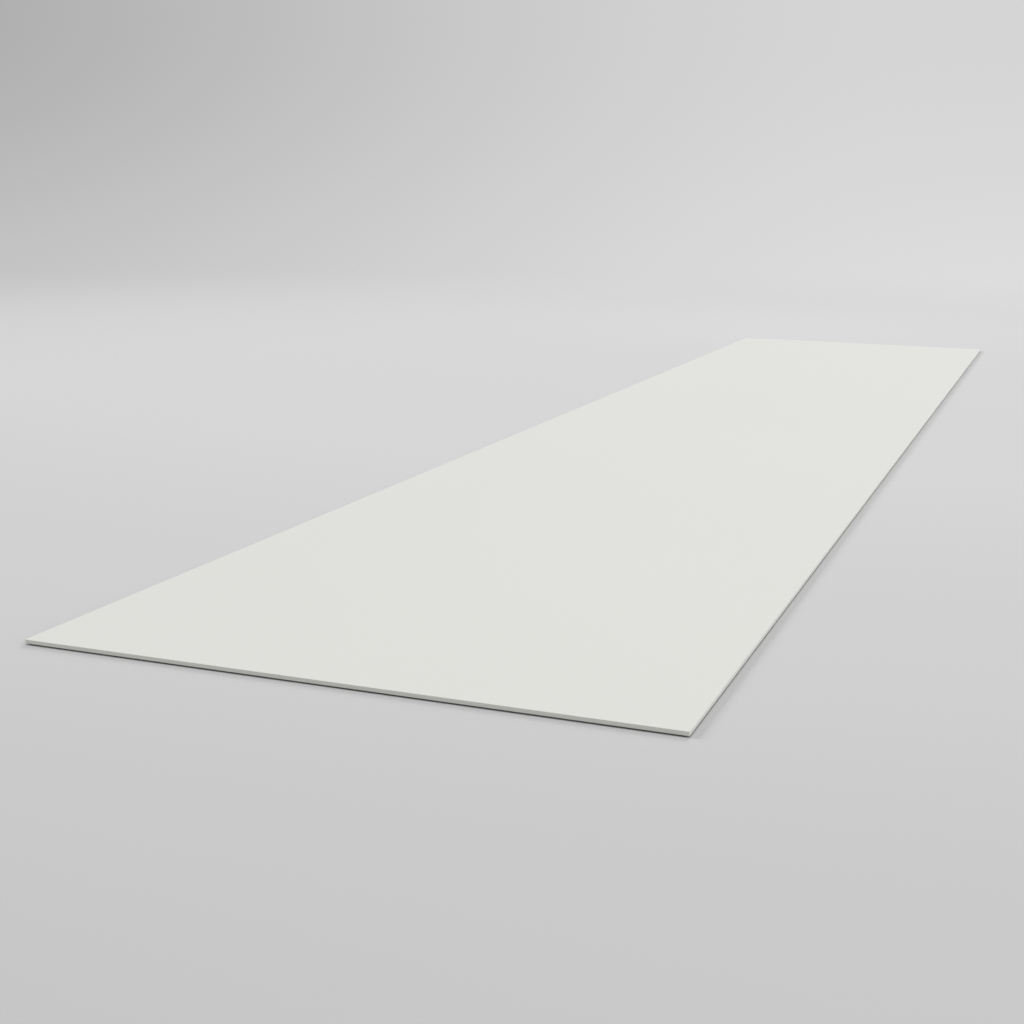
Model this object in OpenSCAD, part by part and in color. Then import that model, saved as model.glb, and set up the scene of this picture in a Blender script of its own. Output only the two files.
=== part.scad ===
// Flat soffit board: one coated aluminium sheet, lying fair face up on its back.
//
// The length runs along Y, the width along X and the thickness along Z. The origin is on the back,
// at the middle of the board. The deburred edge runs round all four sides and all four corners. It is
// an arc at the fair face, a smaller one at the back, and a flat land between them.

/* [Sheet] */
// Length of the board, along Y
board_length = 2500; // [600:50:4000]
// Width of the board, along X
board_width = 500; // [100:10:1250]
// Thickness of the sheet, with its coat
sheet_thickness = 3; // [2:0.5:6]

/* [Edges] */
// Radius of the arc between the fair face and the edge
face_edge_radius = 0.25; // [0.1:0.05:0.5]
// Radius of the arc between the back and the edge
back_edge_radius = 0.2; // [0.1:0.05:0.5]
// Radius of the four corners, seen from above
corner_radius = 0.6; // [0.6:0.1:12]

/* [Finish] */
// Colour of the coat
coat_colour = "#dfe0db"; // [#dfe0db, #f4f4f0, #8a9196, #383e42]

/* [Hidden] */

arc_facets = 96;

// A size to the nearest hundredth, so that arcs and flats meet without a step.
function held(size) = round(size * 100) / 100;

half_length = held(board_length / 2);
half_width = held(board_width / 2);
thickness = held(sheet_thickness);
face_radius = held(face_edge_radius);
back_radius = held(back_edge_radius);
turn_radius = held(corner_radius);

// The middle of each corner's turn, where the straight sides end.
turn_x = half_width - turn_radius;
turn_y = half_length - turn_radius;

// A quarter of a disc, with its square corner at the origin.
module quarter_disc(radius) {
    intersection() {
        circle(radius, $fn = arc_facets);
        square(radius);
    }
}

// The sheet's section, from x = 0 out to its edge at x = reach, with the back on y = 0.
// A chord cuts each corner, and a quarter disc rounds it.
module edge_section(reach) {
    face_centre = [reach - face_radius, thickness - face_radius];
    back_centre = [reach - back_radius, back_radius];

    polygon([
        [0, 0],
        [back_centre.x, 0],
        [reach, back_centre.y],
        [reach, face_centre.y],
        [face_centre.x, thickness],
        [0, thickness]
    ]);
    translate(face_centre)
        quarter_disc(face_radius);
    translate(back_centre)
        rotate(-90)
            quarter_disc(back_radius);
}

// A bar of the sheet along Y, with a finished edge on both long sides and its ends cut square.
module edged_bar(half_across, half_along) {
    for (side = [0, 1])
        mirror([side, 0, 0])
            rotate([90, 0, 0])
                linear_extrude(2 * half_along, center = true)
                    edge_section(half_across);
}

// A quarter turn of the same section, which carries the edge round from one side to the next.
module edged_corner() {
    rotate_extrude(angle = 90, $fn = arc_facets)
        edge_section(turn_radius);
}

// Two crossed bars make the four sides, and a turned corner fills each place that both leave open.
module soffit_board() {
    color(coat_colour) {
        edged_bar(half_width, turn_y);
        rotate(90)
            edged_bar(half_length, turn_x);
        for (left = [0, 1], front = [0, 1])
            mirror([left, 0, 0])
                mirror([0, front, 0])
                    translate([turn_x, turn_y, 0])
                        edged_corner();
    }
}

soffit_board();
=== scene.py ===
"""A long flat soffit board of powder-coated aluminium, lying fair face up on a pale studio floor."""

import math

import bmesh
import bpy
from mathutils import Euler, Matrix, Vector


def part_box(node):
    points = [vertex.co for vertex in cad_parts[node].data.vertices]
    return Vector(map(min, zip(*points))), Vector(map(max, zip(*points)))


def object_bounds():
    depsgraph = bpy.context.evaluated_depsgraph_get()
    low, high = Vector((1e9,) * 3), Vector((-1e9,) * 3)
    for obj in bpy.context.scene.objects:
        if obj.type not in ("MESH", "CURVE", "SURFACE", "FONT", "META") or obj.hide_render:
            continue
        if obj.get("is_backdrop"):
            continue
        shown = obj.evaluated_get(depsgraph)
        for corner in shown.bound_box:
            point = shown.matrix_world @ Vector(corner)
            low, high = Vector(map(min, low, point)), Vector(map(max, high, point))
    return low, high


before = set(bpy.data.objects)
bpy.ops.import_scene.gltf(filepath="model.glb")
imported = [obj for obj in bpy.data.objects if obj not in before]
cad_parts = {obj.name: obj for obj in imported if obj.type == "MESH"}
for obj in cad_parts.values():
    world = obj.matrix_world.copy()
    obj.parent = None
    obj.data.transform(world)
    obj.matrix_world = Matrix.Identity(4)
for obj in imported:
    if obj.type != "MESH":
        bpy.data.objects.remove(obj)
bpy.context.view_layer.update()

MM = 0.001

# Powder coat
COAT_COLOUR = (0.742, 0.743, 0.706)
COAT_ROUGHNESS = 0.42
COAT_IOR = 1.5
PEEL_LENGTH = 2.5 * MM
PEEL_DETAIL = 1.0
PEEL_HEIGHT = 0.08 * MM
PEEL_ROUGHNESS = 0.06
GRAIN_LENGTH = 0.4 * MM
GRAIN_DETAIL = 2.0
GRAIN_HEIGHT = 0.006 * MM
GRAIN_TONE = 0.05
DRIFT_LENGTH = 0.45
DRIFT_DETAIL = 2.0
DRIFT_TONE = 0.02

# Floor: a little below the board, with painted shade under it, which shows as a dark line along its
# edges.
# Each stop of the painted pool of light and shade is a distance from its centre and the floor's grey
# there.
FLOOR_DROP = 1.1 * MM
UNDER_BOARD_PAINTED_SHADE = 0.42
FLOOR_RADIUS = 9.0
FLOOR_STEPS = 128
LIGHT_POOL_CENTRE = (-0.187, 1.595, 0.0)
LIGHT_POOL_STOPS = [
    (0.0, 0.738),
    (1.0, 0.701),
    (2.0, 0.692),
    (2.8, 0.641),
    (3.3, 0.573),
    (4.2, 0.607),
    (5.0, 0.646),
]
FADE_START = 1.105
FADE_END = 4.2

# Backdrop: the sight line's X sets how far it is from the dim side to the pale side, over one
# span at the wall's foot and another at its head and the ceiling. The sight line's Z sets how
# far it is up the wall and up to the ceiling.
FOOT_DIM_X = -0.825
FOOT_PALE_X = 0.0
HEAD_DIM_X = -0.933
HEAD_PALE_X = -0.11
FOOT_Z = -0.116
HEAD_Z = 0.096
CEILING_START_Z = 0.11
CEILING_Z = 0.28
DIM_FOOT = 0.552
DIM_HEAD = 0.32
DIM_CEILING = 0.8
PALE_FOOT = 0.74
PALE_HEAD = 0.664
PALE_CEILING = 1.0

# Light, as shares of full white on level ground.
# Each sun has a name, a level, and a bearing, an elevation and a width in degrees.
SKY_LEVEL = 0.419
SUNS = [
    ("key_light", 0.176, 89, 28, 40),
    ("left_light", 0.205, 270, 27, 25),
    ("back_light", 0.174, 180, 27, 18),
]

# Camera: its turns are in degrees
EYE = (0.4615, -2.1452, 0.3378)
VIEW_DOWN = 12.139
VIEW_LEFT = 20.345
VIEW_ROLL = 0.862
LENS_MM = 54.3
SENSOR_MM = 36.0
CLIP_START = 0.01

# Sockets of a Mix node that mixes colours
MIX_SHARE = 0
MIX_FROM = 6
MIX_TO = 7
MIX_RESULT = 2


class Value:
    """A shader socket. Arithmetic on it adds the Math nodes that work it out."""

    def __init__(self, shader, socket):
        self.shader = shader
        self.socket = socket

    def part(self, name):
        """Another output of the same node."""
        return Value(self.shader, self.socket.node.outputs[name])

    def math(self, operation, first, second):
        """The result of a Math node on two values or numbers."""
        return self.shader.node("Math", {"operation": operation}, {0: first, 1: second})

    def __add__(self, other):
        return self.math("ADD", self, other)

    def __radd__(self, other):
        return self.math("ADD", other, self)

    def __sub__(self, other):
        return self.math("SUBTRACT", self, other)

    def __rsub__(self, other):
        return self.math("SUBTRACT", other, self)

    def __mul__(self, other):
        return self.math("MULTIPLY", self, other)

    def __rmul__(self, other):
        return self.math("MULTIPLY", other, self)

    def __gt__(self, other):
        return self.math("GREATER_THAN", self, other)


class Shader:
    """The node tree of a material or a world, filled one node at a time."""

    def __init__(self, owner):
        owner.use_nodes = True
        self.owner = owner
        self.tree = owner.node_tree
        self.tree.nodes.clear()

    def node(self, kind, settings=None, inputs=None, output=0):
        """Adds a node, sets its settings, then its inputs, and gives back one of its outputs."""
        made = self.tree.nodes.new("ShaderNode" + kind)
        for name, setting in (settings or {}).items():
            if name == "stops":
                self.set_stops(made.color_ramp.elements, setting)
            else:
                setattr(made, name, setting)
        for name, value in (inputs or {}).items():
            if isinstance(value, Value):
                self.tree.links.new(value.socket, made.inputs[name])
            else:
                made.inputs[name].default_value = value
        return Value(self, made.outputs[output]) if made.outputs else None

    @staticmethod
    def set_stops(elements, stops):
        """Gives a colour ramp its stops, each a place from 0 to 1 and a grey."""
        while len(elements) < len(stops):
            elements.new(1.0)
        for element, (place, level) in zip(elements, stops):
            element.position = place
            element.color = grey(level)

    def axes(self, vector):
        """The X, Y and Z of a vector."""
        x = self.node("SeparateXYZ", {}, {0: vector})
        return x, x.part("Y"), x.part("Z")

    def step(self, value, start, end):
        """0 before start, 1 after end, and a smooth rise between."""
        return self.node(
            "MapRange",
            {"interpolation_type": "SMOOTHSTEP"},
            {"Value": value, "From Min": start, "From Max": end},
        )

    def noise(self, place, length, detail):
        """Noise from -0.5 to 0.5, with bumps of about the given length."""
        return self.node("TexNoise", {}, {"Vector": place, "Scale": 1 / length, "Detail": detail}) - 0.5


def grey(level):
    """The opaque grey of a level from 0, black, to 1, white."""
    return (level, level, level, 1.0)


def blend(start, end, share):
    """Goes from start to end as share goes from 0 to 1."""
    return start + share * (end - start)


def turn(tilt, heading):
    """A turn about X and then about Z, in degrees."""
    return Euler((math.radians(tilt), 0, math.radians(heading)), "XYZ")


def powder_coat():
    """Satin powder coat: an even colour with a faint drift, over shallow orange peel and fine grain."""
    shader = Shader(bpy.data.materials.new("powder_coat"))
    place = shader.node("TexCoord", output="Object")
    peel = shader.noise(place, PEEL_LENGTH, PEEL_DETAIL)
    grain = shader.noise(place, GRAIN_LENGTH, GRAIN_DETAIL)
    drift = shader.noise(place, DRIFT_LENGTH, DRIFT_DETAIL)

    height = peel * PEEL_HEIGHT + grain * GRAIN_HEIGHT
    bump = shader.node("Bump", {}, {"Strength": 1.0, "Distance": 1.0, "Height": height})
    tone = 1 + drift * DRIFT_TONE + grain * GRAIN_TONE
    colour = shader.node("VectorMath", {"operation": "SCALE"}, {0: COAT_COLOUR, "Scale": tone})
    coat = shader.node(
        "BsdfPrincipled",
        {},
        {
            "Base Color": colour,
            "Roughness": COAT_ROUGHNESS + peel * PEEL_ROUGHNESS,
            "Metallic": 0.0,
            "IOR": COAT_IOR,
            "Normal": bump,
        },
    )
    shader.node("OutputMaterial", {}, {"Surface": coat})
    return shader.owner


def floor_paint():
    """Matt grey, with a painted pool of light and shade beyond the board and painted shade under it,
    that fades out to the backdrop further off.
    """
    shader = Shader(bpy.data.materials.new("floor_paint"))
    place = shader.node("TexCoord", output="Object")

    # Painted light and shade: the floor's grey by its distance from the pool's centre.
    from_pool = shader.node(
        "VectorMath", {"operation": "DISTANCE"}, {0: place, 1: LIGHT_POOL_CENTRE}, "Value"
    )
    reach = LIGHT_POOL_STOPS[-1][0]
    stops = [(distance / reach, level) for distance, level in LIGHT_POOL_STOPS]
    painted_light_pool = shader.node("ValToRGB", {"stops": stops}, {"Fac": from_pool * (1 / reach)})

    # The board is centred, so the upper corner of its box is half its size.
    half_width, half_length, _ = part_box("soffit_board")[1]
    x, y, _ = shader.axes(shader.node("VectorMath", {"operation": "ABSOLUTE"}, {0: place}))
    # Painted shade inside the board's footprint, the painted pool of light and shade outside it.
    is_open = x.math("MAXIMUM", x > half_width, y > half_length)
    colour = shader.node(
        "Mix",
        {"data_type": "RGBA"},
        {MIX_SHARE: is_open, MIX_FROM: grey(UNDER_BOARD_PAINTED_SHADE), MIX_TO: painted_light_pool},
        MIX_RESULT,
    )

    paint = shader.node(
        "BsdfPrincipled", {}, {"Base Color": colour, "Roughness": 1.0, "Specular IOR Level": 0.0}
    )
    clear = shader.node("BsdfTransparent")
    from_middle = shader.node("VectorMath", {"operation": "LENGTH"}, {0: place}, "Value")
    faded = shader.step(from_middle, FADE_START, FADE_END)
    floor = shader.node("MixShader", {}, {0: faded, 1: paint, 2: clear})
    shader.node("OutputMaterial", {}, {"Surface": floor})
    return shader.owner


def studio_floor():
    """A wide round floor, just below the board."""
    bm = bmesh.new()
    bmesh.ops.create_circle(bm, cap_ends=True, segments=FLOOR_STEPS, radius=FLOOR_RADIUS)
    bmesh.ops.translate(bm, verts=bm.verts, vec=(0, 0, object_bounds()[0][2] - FLOOR_DROP))
    mesh = bpy.data.meshes.new("studio_floor")
    bm.to_mesh(mesh)
    bm.free()
    mesh.materials.append(floor_paint())
    made = bpy.data.objects.new("studio_floor", mesh)
    bpy.context.scene.collection.objects.link(made)
    made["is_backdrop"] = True


def sun(name, level, bearing, elevation, width):
    """A wide soft sun that gives level, as a share of full white, on level ground.

    It shines from bearing, in degrees from -Y round to +X, and from elevation above the floor.
    It has no glare of its own: gloss shows the backdrop.
    """
    lamp = bpy.data.lights.new(name, "SUN")
    lamp.energy = level * math.pi / math.sin(math.radians(elevation))
    lamp.angle = math.radians(width)
    made = bpy.data.objects.new(name, lamp)
    made.rotation_euler = turn(90 - elevation, bearing)
    made.visible_glossy = False
    bpy.context.scene.collection.objects.link(made)


def studio_world():
    """An even soft sky for light. The camera, gloss and glass see the backdrop in its place."""
    shader = Shader(bpy.data.worlds.new("studio"))
    x, _, z = shader.axes(shader.node("TexCoord", output="Generated"))
    foot = blend(DIM_FOOT, PALE_FOOT, shader.step(x, FOOT_DIM_X, FOOT_PALE_X))
    across = shader.step(x, HEAD_DIM_X, HEAD_PALE_X)
    head = blend(DIM_HEAD, PALE_HEAD, across)
    ceiling = blend(DIM_CEILING, PALE_CEILING, across)
    wall = blend(foot, head, shader.step(z, FOOT_Z, HEAD_Z))
    backdrop = blend(wall, ceiling, shader.step(z, CEILING_START_Z, CEILING_Z))

    rays = shader.node("LightPath", output="Is Camera Ray")
    seen = rays + rays.part("Is Glossy Ray") + rays.part("Is Transmission Ray")
    level = blend(SKY_LEVEL, backdrop, seen)
    sky = shader.node("Background", {}, {"Color": grey(1.0), "Strength": level})
    shader.node("OutputWorld", {}, {"Surface": sky})
    bpy.context.scene.world = shader.owner


def camera():
    """A camera at EYE that looks along +Y, turned to the left and down, and rolled."""
    lens = bpy.data.cameras.new("camera")
    lens.lens = LENS_MM
    lens.sensor_width = SENSOR_MM
    lens.clip_start = CLIP_START
    made = bpy.data.objects.new("camera", lens)
    made.location = EYE
    made.rotation_mode = "QUATERNION"
    aim = turn(90 - VIEW_DOWN, VIEW_LEFT).to_quaternion()
    made.rotation_quaternion = aim @ turn(0, VIEW_ROLL).to_quaternion()
    bpy.context.scene.collection.objects.link(made)
    bpy.context.scene.camera = made


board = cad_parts["soffit_board"]
board.data.materials[0] = powder_coat()
studio_floor()
for settings in SUNS:
    sun(*settings)
studio_world()
camera()
bpy.context.scene.view_settings.view_transform = "Standard"
